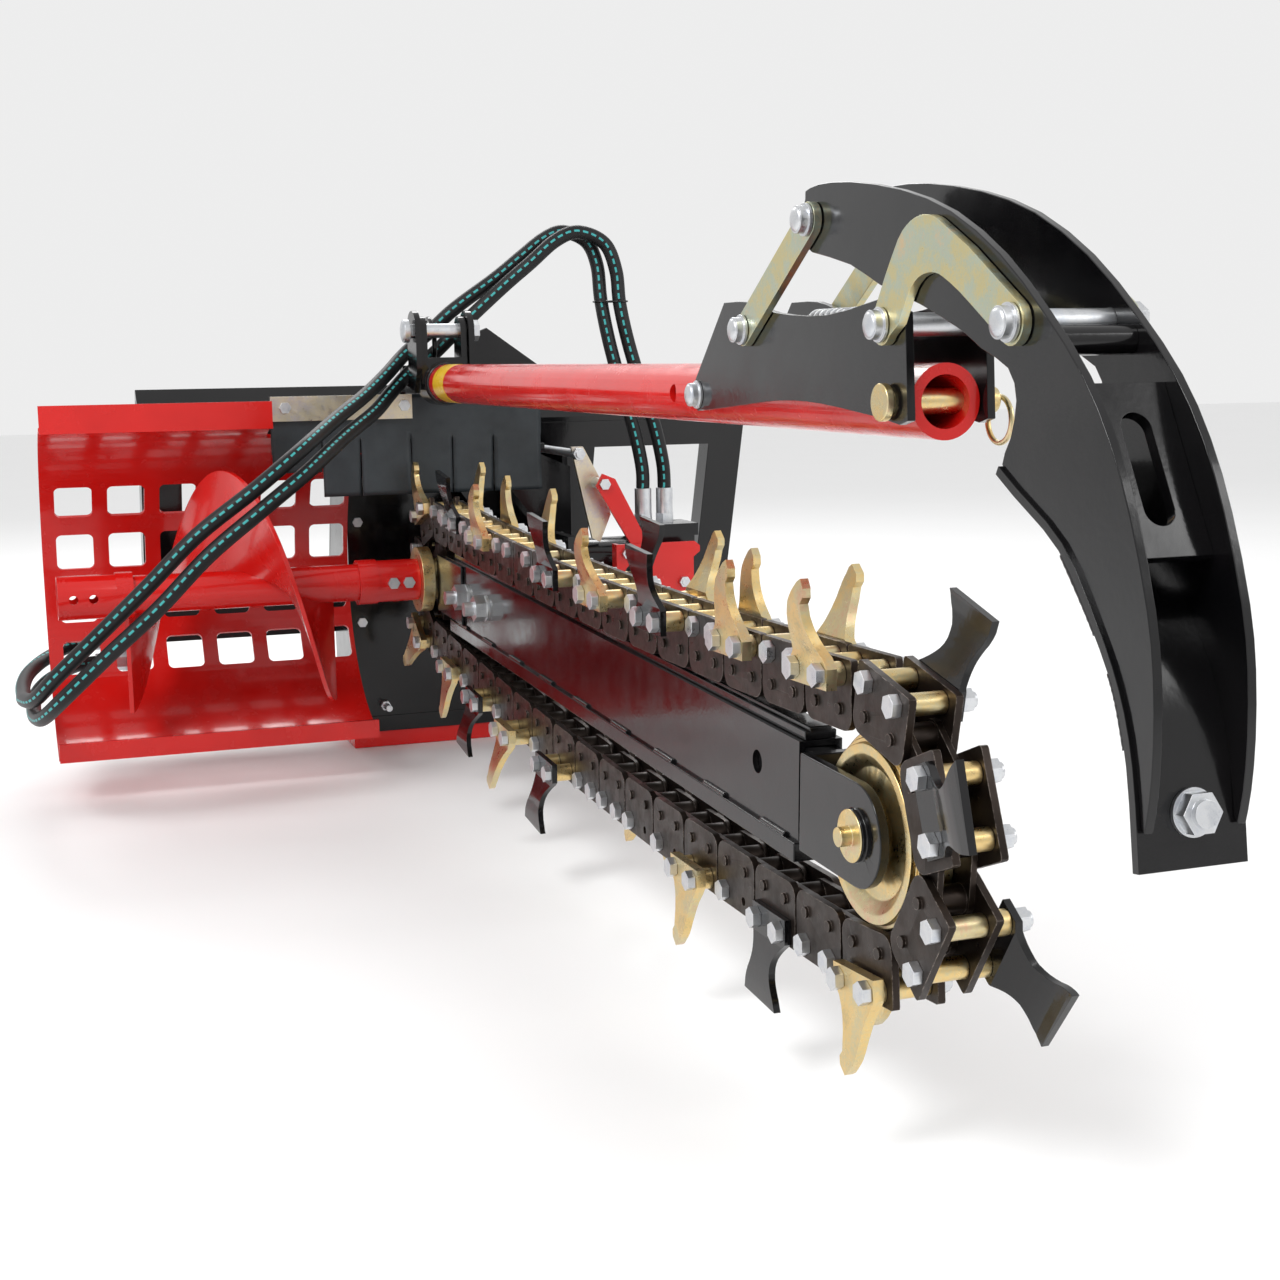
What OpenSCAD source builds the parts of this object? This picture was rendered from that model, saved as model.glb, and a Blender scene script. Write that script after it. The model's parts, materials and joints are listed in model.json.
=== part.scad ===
// Chain trencher attachment for a compact loader.
// Frame: X = 0 is the middle of the digging chain, +X towards the drive motor,
// -Y along the boom to its nose, +Z up. The origin lies on the loader plate's rear face.

/* [Digging chain] */
// Pitch of the digging chain
chain_pitch = 42; // [41.8:0.1:42.2]
// Thickness of an outer side plate
outer_plate_t = 6; // [5:0.5:6]
// Height of the tooth bolts above the rivet line
tooth_bolt_h = 27; // [26:1:28]

/* [Boom] */
// Slope of the boom below the level, in degrees
droop = 1.6; // [1:0.1:2.2]
// Half height of the boom's recessed side panel
panel_half_h = 42; // [38:1:43]

/* [Auger] */
// Outer radius of the spoil auger
auger_r = 165; // [150:1:170]
// Outside diameter of the auger tube
auger_tube_d = 52.5; // [48:0.5:54]
// Axial length of the flight, which is one full turn
flight_len = 281; // [260:1:285]

/* [Spoil shield] */
// Inner radius of the shield
shield_r = 225; // [222:1:228]
// Thickness of the shield sheet
shield_t = 5; // [4:0.5:5]
// Side of a square window
window_w = 52; // [40:1:54]

/* [Loader frame] */
// Lean of the loader frame, in degrees
lean = 17; // [16:0.5:18]
// Left end of the loader frame
frame_left = -396; // [-400:1:-390]
// Right end of the loader frame
frame_right = 590; // [585:1:595]

/* [Crumber] */
// Outside diameter of the crumber tube
crumber_tube_d = 52.5; // [51:0.5:53]
// Height of the crumber tube's axis
crumber_z = 279; // [277:1:281]

/* [Hidden] */

black = [0.05, 0.05, 0.05];
red = [0.85, 0.06, 0.04];
gold = [0.78, 0.65, 0.36];
zinc = [0.78, 0.8, 0.82];
steel = [0.22, 0.2, 0.18];

// head and nose axes; the boom frame has -Y along the boom and Z square to it
head_y = -395;
head_r = chain_pitch / 2 / sin(180 / 11);
nose_r = chain_pitch / 2 / sin(180 / 13);
pitch_count = 78;
phase = 0.914;
upper_sag = 15.5;
lower_sag = 21;
taper = asin((nose_r - head_r) / (33 * chain_pitch));
head_wrap = (180 - 2 * taper) * 11 / 360;
nose_wrap = (180 + 2 * taper) * 13 / 360;
run = (pitch_count - head_wrap - nose_wrap) / 2;
span = sqrt(pow(run * chain_pitch, 2) + pow(nose_r - head_r, 2));
outer_face = 21.6;
inner_face = outer_face - outer_plate_t;
pin_r = 5.5;
bush_r = 11;
bolt_r = 6;
hex_r = 16.4 / 2 / cos(30);
boom_end = 1262;

// teeth: link, side (-1 left), kind (0 cup tooth, 1 blade), offset from the plate, flare
cutters = [[0, 1, 0, 4, 8], [1, -1, 1, 0, 14], [2, 1, 0, 6, -4], [3, -1, 0, 5, 8],
  [4, 1, 0, 6, 8], [7, -1, 1, 18, 12], [8, 1, 1, 10, 14], [9, -1, 0, 18, 14],
  [10, 1, 0, 14, 16], [11, -1, 1, 18, 14], [12, 1, 0, 0, -4], [13, -1, 0, 5, 8],
  [14, 1, 0, 0, 14], [15, -1, 0, 8, 14], [16, 1, 1, 0, 16], [17, -1, 1, 0, 10],
  [18, 1, 1, 12, 18], [19, -1, 0, 3, 6], [20, 1, 0, 0, 10], [21, -1, 1, 0, 6],
  [23, -1, 0, 8, 6], [26, 1, 0, 12, 8], [27, 1, 0, 0, 6], [28, -1, 1, 18, 12],
  [30, -1, 0, 18, 16], [32, -1, 1, 14, 12], [34, -1, 0, 4, 8], [36, -1, 0, 6, 12],
  [37, 1, 1, 0, 8], [38, -1, 0, 0, 6]];

// crumber linkage pivots, as [y, z]
strap_base = [-1597, 332];
strap_tip = [-1718, 409];
link_base = [-1837, 331];
link_tip = [-2003, 329];
clamp_hole_y = -1481;
hitch_y = -1837;
plate_in = 27.5;
plate_out = 33.5;
pivot_y = -405;
pivot_z = 352;

// hose routes, chosen by hand
hose_r = 10;
route_a = [[304, -395, 118], [303, -395, 150], [293, -391, 205], [276, -383, 270],
  [262, -373, 335], [254, -362, 395], [252, -352, 447], [238, -345, 481],
  [204, -342, 495], [175, -341, 485], [140, -341, 459], [100, -341, 428],
  [38, -340, 385], [0, -339, 352], [-38, -346, 322], [-75, -383, 292],
  [-116, -430, 264], [-170, -500, 235], [-237, -590, 196], [-300, -618, 151],
  [-372, -620, 98], [-434, -617, 38], [-495, -610, -20], [-548, -592, -72],
  [-576, -545, -108], [-588, -470, -122], [-589, -395, -128], [-588, -320, -128],
  [-580, -250, -124], [-562, -190, -118], [-538, -142, -112], [-512, -112, -106],
  [-480, -104, -104]];
route_b = [[338, -395, 118], [336, -395, 155], [324, -393, 212], [304, -389, 275],
  [288, -383, 335], [278, -377, 390], [275, -371, 438], [259, -368, 477],
  [220, -367, 493], [185, -367, 481], [145, -366, 448], [105, -362, 415],
  [46, -359, 363], [0, -357, 320], [-38, -357, 292], [-72, -390, 265],
  [-104, -434, 241], [-160, -505, 211], [-228, -595, 170], [-290, -628, 128],
  [-360, -634, 74], [-425, -634, 10], [-486, -628, -44], [-541, -606, -98],
  [-567, -550, -132], [-575, -470, -147], [-577, -395, -152], [-575, -320, -152],
  [-568, -255, -149], [-553, -200, -144], [-530, -155, -139], [-508, -128, -135],
  [-480, -120, -133]];

$fn = 48;

// ---------- general helpers ----------
module box(low, high) {
  translate(low) cube(high - low);
}

module x_rod(x0, x1, r, y = 0, z = 0, sides = 48) {
  translate([x0, y, z]) rotate([0, 90, 0]) cylinder(h = x1 - x0, r = r, $fn = sides);
}

module y_rod(y0, y1, r, x = 0, z = 0, sides = 48) {
  translate([x, y1, z]) rotate([90, 0, 0]) cylinder(h = y1 - y0, r = r, $fn = sides);
}

module yz_plate(x0, x1, pts) {
  translate([x0, 0, 0]) rotate([90, 0, 90]) linear_extrude(height = x1 - x0) polygon(pts);
}

module xz_plate(y0, y1, pts) {
  translate([0, y1, 0]) rotate([90, 0, 0]) linear_extrude(height = y1 - y0) polygon(pts);
}

module both_sides() {
  children();
  mirror([1, 0, 0]) children();
}

module in_boom() {
  translate([0, head_y, 0]) rotate([droop, 0, 0]) children();
}

module leaned() {
  rotate([lean, 0, 0]) children();
}

function arc(c, r, a0, a1, n = 6) =
  [for (i = [0 : n]) c + r * [cos(a0 + (a1 - a0) * i / n), sin(a0 + (a1 - a0) * i / n)]];

function spline(p0, p1, p2, p3, t) = 0.5 * (2 * p1 + (p2 - p0) * t
  + (2 * p0 - 5 * p1 + 4 * p2 - p3) * t * t + (3 * p1 - p0 - 3 * p2 + p3) * t * t * t);

function on_spline(p, s) =
  let (n = len(p) - 1, i = min(floor(s), n - 1))
  spline(p[max(i - 1, 0)], p[i], p[i + 1], p[min(i + 2, n)], s - i);

function smooth(p, n) = [for (k = [0 : (len(p) - 1) * n]) on_spline(p, k / n)];

// ---------- chain path, in the boom frame as [y, z] ----------
function ray(a) = [cos(a), sin(a)];

function sag(amount, t) = [0, -amount * 4 * t * (1 - t)];

function on_loop(s) =
  s < run ? head_r * ray(90 - taper) + s * chain_pitch * ray(180 - taper)
    + sag(upper_sag, s / run)
  : s < run + nose_wrap ? [-span, 0] + nose_r * ray(90 - taper + (s - run) * 360 / 13)
  : s < 2 * run + nose_wrap ? [-span, 0] + nose_r * ray(270 + taper)
    + (s - run - nose_wrap) * chain_pitch * ray(taper)
    + sag(lower_sag, (s - run - nose_wrap) / run)
  : head_r * ray(270 + taper + (s - 2 * run - nose_wrap) * 360 / 11);

function pin_at(i) = on_loop((i + phase) % pitch_count);

// children of on_link lie in the link's frame: -Y is the way it travels, Z is outward
module on_link(i) {
  a = pin_at(i);
  b = pin_at(i + 1);
  m = (a + b) / 2;
  translate([0, m[0], m[1]]) rotate([atan2(a[1] - b[1], a[0] - b[0]), 0, 0]) children();
}

function half_pitch(i) = norm(pin_at(i + 1) - pin_at(i)) / 2;

function has_cutter(j) = len([for (c = cutters) if (c[0] == j) 1]) > 0;

function cutter_of(j) = [for (c = cutters) if (c[0] == j) c][0];

// how far the cutter's mounting face stands outside the plates, on the given side
function stand_off(j, side) =
  has_cutter(j) && cutter_of(j)[1] == side
    ? cutter_of(j)[3] + (cutter_of(j)[2] == 0 ? 9 : 6) : 0;

bolt_y = 23;

function plate_outline(h) = let (e = h + 19.5) concat(
  arc([-e + 13, -3], 13, 180, 270), arc([e - 13, -3], 13, 270, 360),
  arc([e - 3, 36], 3, 0, 90, 2), arc([-e + 3, 36], 3, 90, 180, 2));

module outer_link(j) {
  h = half_pitch(2 * j);
  tooth = has_cutter(j);
  both_sides() difference() {
    yz_plate(inner_face, outer_face, plate_outline(h));
    x_rod(inner_face - 1, outer_face + 1, bolt_r + 0.05, -bolt_y, tooth_bolt_h);
    if (tooth) x_rod(inner_face - 1, outer_face + 1, bolt_r + 0.05, bolt_y, tooth_bolt_h);
    else x_rod(inner_face - 1, outer_face + 1, 4, 17, tooth_bolt_h);
  }
  for (y = [-h, h]) {
    x_rod(-outer_face, outer_face, pin_r, y, 0);
    x_rod(-outer_face - 2.6, outer_face + 2.6, 4.6, y, 0, 24);
  }
}

module inner_link(i) {
  h = half_pitch(i);
  difference() {
    union() {
      both_sides() yz_plate(10.4, 15.4, concat(arc([-h, 0], 13, 90, 270, 10),
        arc([h, 0], 13, -90, 90, 10)));
      for (y = [-h, h]) x_rod(-12, 12, bush_r, y, 0);
    }
    for (y = [-h, h]) x_rod(-20, 20, pin_r + 0.05, y, 0);
  }
}

module chain_inner_links() {
  color(steel) in_boom() for (j = [0 : 38]) on_link(2 * j + 1) inner_link(2 * j + 1);
}

module chain_outer_links() {
  color(steel) in_boom() for (j = [0 : 38]) on_link(2 * j) outer_link(j);
}

module tube_x(x0, x1, r_out, r_in, y, z) {
  difference() {
    x_rod(x0, x1, r_out, y, z);
    x_rod(x0 - 1, x1 + 1, r_in, y, z);
  }
}

// spacer tubes between the plates, and outside them where a cutter stands off
module chain_spacers() {
  color(gold) in_boom() for (j = [0 : 38]) on_link(2 * j)
    for (y = has_cutter(j) ? [-bolt_y, bolt_y] : [-bolt_y]) {
      tube_x(-inner_face + 0.1, inner_face - 0.1, 8.5, bolt_r + 0.05, y, tooth_bolt_h);
      for (side = [-1, 1]) {
        gap = has_cutter(j) && cutter_of(j)[1] == side ? cutter_of(j)[3] : 0;
        x0 = side > 0 ? outer_face : -outer_face - gap;
        if (gap > 0) tube_x(x0, x0 + gap, 9.5, bolt_r + 0.05, y, tooth_bolt_h);
      }
    }
}

module chain_bolts() {
  color(zinc) in_boom() for (j = [0 : 38]) on_link(2 * j)
    for (y = has_cutter(j) ? [-bolt_y, bolt_y] : [-bolt_y]) {
      left = -outer_face - stand_off(j, -1);
      right = outer_face + stand_off(j, 1);
      x_rod(left, right + 13, bolt_r, y, tooth_bolt_h);
      x_rod(left - 7.5, left, hex_r, y, tooth_bolt_h, 6);
      x_rod(right, right + 9.5, hex_r, y, tooth_bolt_h, 6);
    }
}

// cup tooth: a curved bar, cut to a hooked fin; x is outward from the plate
function bow(flare, h) = flare * sin(110 * max(0, h - 40) / 58);

module cup_tooth(stand, flare) {
  x0 = outer_face + stand;
  hs = [14, 40, 50, 60, 70, 80, 90, 99];
  difference() {
    intersection() {
      xz_plate(-40, 40, concat([for (h = hs) [x0 + bow(flare, h), h]],
        [for (k = [7 : -1 : 0]) [x0 + bow(flare, hs[k]) + 9 - k * 0.3, hs[k]]]));
      yz_plate(x0 - 30, x0 + 50, concat([[33, 16], [33, 32]],
        smooth([[33, 32], [22, 48], [16, 64], [8, 82], [-6, 96]], 3),
        [[-12, 99], [-18, 92], [-18, 85], [-13, 80]],
        smooth([[-13, 80], [-13, 64], [-19, 48], [-33, 32]], 3), [[-33, 16]]));
    }
    for (y = [-bolt_y, bolt_y]) x_rod(x0 - 5, x0 + 20, bolt_r + 0.05, y, tooth_bolt_h);
  }
}

module side_blade(stand, flare) {
  x0 = outer_face + stand;
  hs = [14, 40, 52, 62, 72, 82, 92, 98];
  difference() {
    intersection() {
      xz_plate(-45, 45, concat([for (h = hs) [x0 + bow(flare, h), h]],
        [for (k = [7 : -1 : 0]) [x0 + bow(flare, hs[k]) + 6, hs[k]]]));
      yz_plate(x0 - 30, x0 + 60, concat([[33, 15], [33, 36]],
        smooth([[33, 36], [20, 46], [11, 58], [12, 72], [20, 86], [24, 96]], 3),
        smooth([[-38, 92], [-35, 78], [-28, 62], [-28, 50], [-33, 38]], 3),
        [[-33, 15]]));
    }
    for (y = [-bolt_y, bolt_y]) x_rod(x0 - 5, x0 + 20, bolt_r + 0.05, y, tooth_bolt_h);
  }
}

module place_cutter(c) {
  in_boom() on_link(2 * c[0]) scale([1, 1, 1])
    if (c[1] > 0) children();
    else mirror([1, 0, 0]) children();
}

module cup_teeth() {
  color(gold) for (c = cutters) if (c[2] == 0) place_cutter(c) cup_tooth(c[3], c[4]);
}

module side_blades() {
  color(black) for (c = cutters) if (c[2] == 1) place_cutter(c) side_blade(c[3], c[4]);
}

// ---------- boom ----------
module boom_beam() {
  color(black) in_boom() difference() {
    box([-19, -boom_end, -panel_half_h], [19, -72, panel_half_h]);
    box([-14, -boom_end - 1, -panel_half_h + 5], [14, -71, panel_half_h - 5]);
    x_rod(-20, 20, 10, -1178, 6);
    for (y = [-197, -297]) x_rod(-20, 20, 9.05, y, 2);
  }
}

// the top rail carries the chain; the bottom rail stands out as a ledge
module boom_rails() {
  color(black) in_boom() {
    box([-14, -boom_end, panel_half_h], [14, -110, 50]);
    box([-9.9, -boom_end, 50], [9.9, -110, 53.2]);
    box([-23, -boom_end, -58], [23, -112, -panel_half_h]);
  }
}

module boom_root() {
  color(black) in_boom() {
    box([-23, -178, -40], [-19, -40, 40]);
    difference() {
      union() {
        box([19, -190, -38], [30, -80, 38]);
        yz_plate(30, 43.9, concat([[-190, -48], [0, -48]], arc([0, 0], 48, -90, 90, 12),
          [[-190, 48]]));
      }
      x_rod(29, 45, 24, 0, 0);
    }
  }
}

module boom_studs() {
  color(zinc) in_boom() for (y = [-197, -297]) {
    x_rod(-50, 13, 9, y, 2);
    tube_x(-22.5, -19, 17, 9.05, y, 2);
    difference() {
      x_rod(-37, -22.5, 17.3, y, 2, 6);
      x_rod(-38, -22, 9.05, y, 2);
    }
  }
}

// ---------- nose ----------
module nose_frame() {
  color(black) in_boom() {
    difference() {
      union() {
        box([-13.6, -1298, -36.5], [13.6, -1080, 36.5]);
        box([-30, -1298, -40], [30, -1288, 40]);
        both_sides() yz_plate(22, 30, concat([[-1288, -40], [-1288, 40]],
          arc([-span, 0], 40, 90, 270, 16)));
        both_sides() x_rod(30, 34, 20, -span, 0);
      }
      box([-8, -1287, -30], [8, -1079, 30]);
      x_rod(-50, 50, 12.02, -span, 0);
    }
  }
}

module nose_axle() {
  color(gold) in_boom() {
    x_rod(-34, 34, 12, -span, 0);
    both_sides() x_rod(34, 35.5, 20, -span, 0);
    both_sides() x_rod(35.5, 45, 7.5, -span, 0);
  }
}

module nose_roller() {
  color(gold) in_boom() translate([0, -span, 0]) rotate([0, 90, 0]) rotate_extrude($fn = 96)
    polygon([[12.05, -20], [24, -20], [30, -15], [50, -13], [60, -20.5], [67.5, -20.5],
      [67.5, -15.4], [71.5, -15.4], [71.5, -9.8], [76.2, -9.8], [76.2, 9.8], [71.5, 9.8],
      [71.5, 15.4], [67.5, 15.4], [67.5, 20.5], [60, 20.5], [50, 13], [30, 15], [24, 20],
      [12.05, 20]]);
}

// ---------- drive shaft and auger ----------
module drive_shaft() {
  color(steel) x_rod(-102, 175, 22, head_y, 0);
}

module drive_sprocket() {
  color(steel) difference() {
    yz_plate(-9, 9, [for (k = [0 : 10]) each [for (p = [[50, -11], [60.5, -4], [60.5, 4],
      [50, 11]]) [head_y, 0] + p[0] * ray(k * 360 / 11 + p[1])]]);
    x_rod(-10, 10, 22.03, head_y, 0);
  }
}

module hub_flange() {
  color(gold) difference() {
    union() {
      x_rod(-44, -26, 46.5, head_y, 0, 72);
      x_rod(-26, -9.2, 30, head_y, 0);
    }
    x_rod(-45, -9, 22.03, head_y, 0);
  }
}

tube_left = -460;
tube_right = -106;

module auger_tube() {
  color(red) tube_x(tube_left, tube_right, auger_tube_d / 2, 20, head_y, 0);
}

function flight_at(k, r, dx) =
  let (a = -90 + k * 360 / 48)
  [-449 + flight_len * k / 48 + dx, head_y + r * cos(a), r * sin(a)];

module auger_flight() {
  root = auger_tube_d / 2 - 0.75;
  pts = [for (k = [0 : 48]) each [flight_at(k, root, -3), flight_at(k, auger_r, -3),
    flight_at(k, auger_r, 3), flight_at(k, root, 3)]];
  faces = concat([[3, 2, 1], [3, 1, 0], [192, 193, 194], [192, 194, 195]],
    [for (k = [0 : 47]) for (e = [0 : 3]) let (a = 4 * k + e, b = 4 * k + (e + 1) % 4)
      each [[a, b, b + 4], [a, b + 4, a + 4]]]);
  color(red) polyhedron(points = pts, faces = faces, convexity = 6);
}

module auger_couplers() {
  color(red) {
    difference() {
      union() {
        x_rod(-104, -44.2, 30, head_y, 0);
        x_rod(-131, -104, 32, head_y, 0);
      }
      x_rod(-104, -43, 22.03, head_y, 0);
      x_rod(-132, -104, auger_tube_d / 2 + 0.03, head_y, 0);
      for (x = [-62, -84]) y_rod(head_y - 40, head_y + 40, 5.05, x, 0);
    }
    difference() {
      union() {
        x_rod(-538, -462, 30, head_y, 0);
        x_rod(-462, -439, 32, head_y, 0);
      }
      x_rod(-539, -468, 25.4, head_y, 0);
      x_rod(-460, -438, auger_tube_d / 2 + 0.03, head_y, 0);
      for (x = [-492, -518]) y_rod(head_y - 40, head_y + 40, 6, x, 0);
    }
  }
}

module coupler_bolts() {
  color(zinc) for (x = [-62, -84]) {
    y_rod(head_y - 30, head_y - 22.2, 5, x, 0);
    y_rod(head_y - 36, head_y - 30, 8.7, x, 0, 6);
  }
}

// ---------- head frame ----------
module mount_frame() {
  color(black) leaned() {
    difference() {
      box([frame_left, -42, -119], [frame_right, 0, -65]);
      for (x = [-330, 454]) box([x, -50, -106], [x + 70, 10, -78]);
    }
    box([frame_left, -42, 186], [frame_right, 0, 232]);
    box([frame_left, -42, -65], [frame_left + 60, 0, 186]);
    box([frame_right - 60, -42, -65], [frame_right, 0, 186]);
  }
}

// folded lip over the top rail, hooking down behind it
module mount_hook() {
  color([0.3, 0.3, 0.3]) leaned() difference() {
    yz_plate(frame_left, frame_right, [[-42, 232], [-8, 232], [20, 263], [24, 261], [24, 234],
      [32, 234], [32, 272], [24, 278], [-42, 240]]);
    translate([frame_left + 22, -20, 220]) cylinder(h = 70, r = 5);
  }
}

module mount_plate() {
  color(black) leaned() box([-100, -10, -65], [340, 0, 186]);
}

module head_wall() {
  color(black) difference() {
    xz_plate(-170, -158, [[-100, -240], [262, -240], [262, 140], [180, 176], [-100, 176]]);
    for (p = [[-84, 66], [-82, -90], [-51, -223]]) y_rod(-171, -157, 5.05, p[0], p[1]);
    y_rod(-171, -157, 6.05, 200, 150);
  }
}

side_outline = [[-158, -240], [-42, -240], [-30, -80], [-24, -72], [8.4, -62.5],
  [-60, 161], [-158, 161]];

module head_side_plates() {
  color(black) {
    yz_plate(-100, -90, side_outline);
    yz_plate(252, 262, side_outline);
    for (x = [60, 140]) difference() {
      union() {
        yz_plate(x, x + 12, [[-170, -120], [-170, 120], [head_y, 60], [head_y, -60]]);
        x_rod(x, x + 12, 62, head_y, 0);
      }
      x_rod(x - 1, x + 13, 50.02, head_y, 0);
    }
  }
}

module head_base() {
  color(black) box([-100, -170, -265], [262, -20, -240]);
}

module head_skid() {
  color(red) box([-100, -166, -290], [262, -24, -265]);
}

module head_deck() {
  color(black) {
    box([-100, -318, 176], [176, -158, 186]);
    box([-232, -321.4, 180], [168, -318, 263]);
  }
}

module head_bolts() {
  color(zinc) {
    for (p = [[-84, 66], [-82, -90]]) {
      y_rod(-170, -150, 5, p[0], p[1]);
      y_rod(-175, -170, 8, p[0], p[1], 6);
    }
    y_rod(-205, -150, 5, -51, -223);
    y_rod(-180, -170, 8, -51, -223, 6);
  }
}

module shaft_housing() {
  color(black) difference() {
    union() {
      x_rod(50, 168, 50, head_y, 0);
      x_rod(44, 50, 58, head_y, 0);
    }
    x_rod(43, 169, 40.02, head_y, 0);
  }
}

module shaft_bearings() {
  color(zinc) for (x = [46, 142]) tube_x(x, x + 22, 40, 22.05, head_y, 0);
}

module drive_motor() {
  color(black) {
    difference() {
      union() {
        box([168, head_y - 56, -56], [182, head_y + 56, 56]);
        x_rod(182, 290, 48, head_y, 0);
        box([290, head_y - 44, -44], [372, head_y + 44, 34]);
      }
      x_rod(167, 180, 22.05, head_y, 0);
    }
    for (y = [-45, 45]) for (z = [-45, 45]) x_rod(182, 192, 9, head_y + y, z, 6);
  }
}

module motor_port_block() {
  color(black) difference() {
    box([286, head_y - 36, 48], [378, head_y + 36, 66]);
    x_rod(280, 290.2, 48.3, head_y, 0);
    for (x = [304, 338]) translate([x, head_y, 50]) cylinder(h = 20, r = 8.05);
  }
  color(black) box([290.4, head_y - 36, 34], [372, head_y + 36, 48]);
}

module hose_fittings() {
  color(zinc) for (x = [304, 338]) translate([x, head_y, 0]) {
    translate([0, 0, 52]) cylinder(h = 14, r = 8);
    translate([0, 0, 66]) cylinder(h = 14, r = 14, $fn = 6);
    translate([0, 0, 80]) cylinder(h = 38, r = 12.5);
  }
}

// ---------- hoses ----------
rings = 40;
ring_sides = 10;

function tangent(p, s) = let (e = 0.02, n = len(p) - 1,
  d = on_spline(p, min(s + e, n)) - on_spline(p, max(s - e, 0))) d / norm(d);

function unit(v) = v / norm(v);

// side vectors are carried along the route, so that the tube never twists
function next_side(side, t) = unit(side - (side * t) * t);

module swept_tube(p, r) {
  n = len(p) - 1;
  step = n / (rings - 1);
  sides = [for (i = 0, v = next_side([0, 1, 0], tangent(p, 0)); i < rings;
    i = i + 1, v = next_side(v, tangent(p, min(i * step, n)))) v];
  pts = [for (i = [0 : rings - 1]) each
    let (s = i * step, c = on_spline(p, s), t = tangent(p, s), u = sides[i], w = cross(t, u))
    [for (k = [0 : ring_sides - 1])
      c + r * (u * cos(k * 360 / ring_sides) + w * sin(k * 360 / ring_sides))]];
  faces = concat([[for (k = [0 : ring_sides - 1]) k]],
    [[for (k = [ring_sides - 1 : -1 : 0]) (rings - 1) * ring_sides + k]],
    [for (i = [0 : rings - 2]) for (k = [0 : ring_sides - 1])
      [i * ring_sides + k, (i + 1) * ring_sides + k,
        (i + 1) * ring_sides + (k + 1) % ring_sides, i * ring_sides + (k + 1) % ring_sides]]);
  polyhedron(points = pts, faces = faces, convexity = 10);
}

module hose_a() {
  color(black) swept_tube(route_a, hose_r);
}

module hose_b() {
  color(black) swept_tube(route_b, hose_r);
}

module hose_couplers() {
  color(zinc) for (p = [route_a[32], route_b[32]]) {
    x_rod(p[0], p[0] + 30, 13, p[1], p[2]);
    x_rod(p[0] + 30, p[0] + 44, 15, p[1], p[2], 6);
    x_rod(p[0] + 44, p[0] + 62, 11, p[1], p[2]);
  }
}

module coupler_holder() {
  color(black) {
    difference() {
      box([-436, -145, -165], [-428, -20, -75]);
      for (p = [route_a[32], route_b[32]]) x_rod(-440, -420, 11.05, p[1], p[2]);
    }
    box([-428, -40, -110], [-396, -20, -90]);
  }
}

module hose_guide() {
  color(black) translate([-4, -347, 334]) rotate([90, 0, 90])
    rotate_extrude($fn = 48) translate([36, 0]) circle(r = 3.5, $fn = 24);
}

// ---------- motor guard ----------
module motor_guard() {
  color(red) {
    difference() {
      xz_plate(-468, -462, [[242, 43], [358, 43], [366, 36], [366, 28], [356, 20], [356, -44],
        [350, -50], [242, -50]]);
      for (p = [[252, 30], [340, -16]]) y_rod(-469, -461, 5.05, p[0], p[1]);
    }
    box([236, -468, -50], [242, -448, 43]);
  }
}

module guard_stay() {
  color(gold) difference() {
    xz_plate(-424, -418, [[184, 184], [202, 184], [230, 132], [243, 84], [226, 44], [214, 50]]);
    y_rod(-425, -417, 6.05, 193, 174);
    y_rod(-425, -417, 5.05, 221, 131);
  }
}

module guard_strap() {
  color(red) difference() {
    xz_plate(-461.9, -456, [[209, 128], [219, 146], [238, 138], [290, 38], [268, 30]]);
    y_rod(-463, -455, 5.05, 221, 131);
    y_rod(-463, -455, 5.05, 252, 30);
  }
}

module guard_bolts() {
  color(zinc) {
    y_rod(-440, -170, 6, 193, 174);
    y_rod(-436, -424, hex_r, 193, 174, 6);
    y_rod(-476, -452, 5, 252, 30);
    y_rod(-475, -468, 8.5, 252, 30, 6);
    y_rod(-476, -452, 5, 340, -16);
    y_rod(-475, -468, 8.5, 340, -16, 6);
    y_rod(-468, -410, 5, 221, 131);
    y_rod(-468, -461.9, 8.5, 221, 131, 6);
    difference() {
      y_rod(-455.9, -424.1, 8, 221, 131);
      y_rod(-457, -423, 5.05, 221, 131);
    }
  }
}

// ---------- shield and flap ----------
shield_left = -548;
shield_right = -101;
window_pitch = 73.7;

module window_cutter() {
  half = window_w / 2;
  corner = 8;
  translate([-half + corner, -half, 0]) cube([window_w - 2 * corner, window_w, 40]);
  translate([-half, -half + corner, 0]) cube([window_w, window_w - 2 * corner, 40]);
  for (x = [-1, 1]) for (y = [-1, 1])
    translate([x * (half - corner), y * (half - corner), 0]) cylinder(h = 40, r = corner);
}

module shield() {
  color(red) {
    difference() {
      translate([shield_left, head_y, 0]) rotate([0, 90, 0]) rotate([0, 0, 6])
        rotate_extrude(angle = 168, $fn = 120)
        translate([shield_r, 0]) square([shield_t, shield_right - shield_left]);
      for (a = [31, 10.5, -9.5, -30]) for (i = [0 : 5])
        translate([-502 + i * window_pitch, head_y, 0]) rotate([a - 90, 0, 0])
        translate([0, 0, shield_r - 20]) window_cutter();
      box([-236, head_y, 196], [-95, -300, 240]);
    }
    box([shield_left + 1, -375, 220], [-236, -368, 258]);
    box([shield_left + 1, -376, -231], [shield_right - 1, -368, -205]);
  }
}

module shield_bracket() {
  color(black) yz_plate(-388, -350, [[-165.5, -9], [-41.3, -9], [-46.8, 9], [-165.5, 9]]);
}

flap_y = -324;

module clamp_bar() {
  color(gold) difference() {
    box([-232, flap_y - 8, 228], [-28, flap_y - 2.5, 263]);
    for (x = [-212, -118, -40]) y_rod(flap_y - 9, flap_y - 2, 5.05, x, 247);
  }
}

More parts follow.
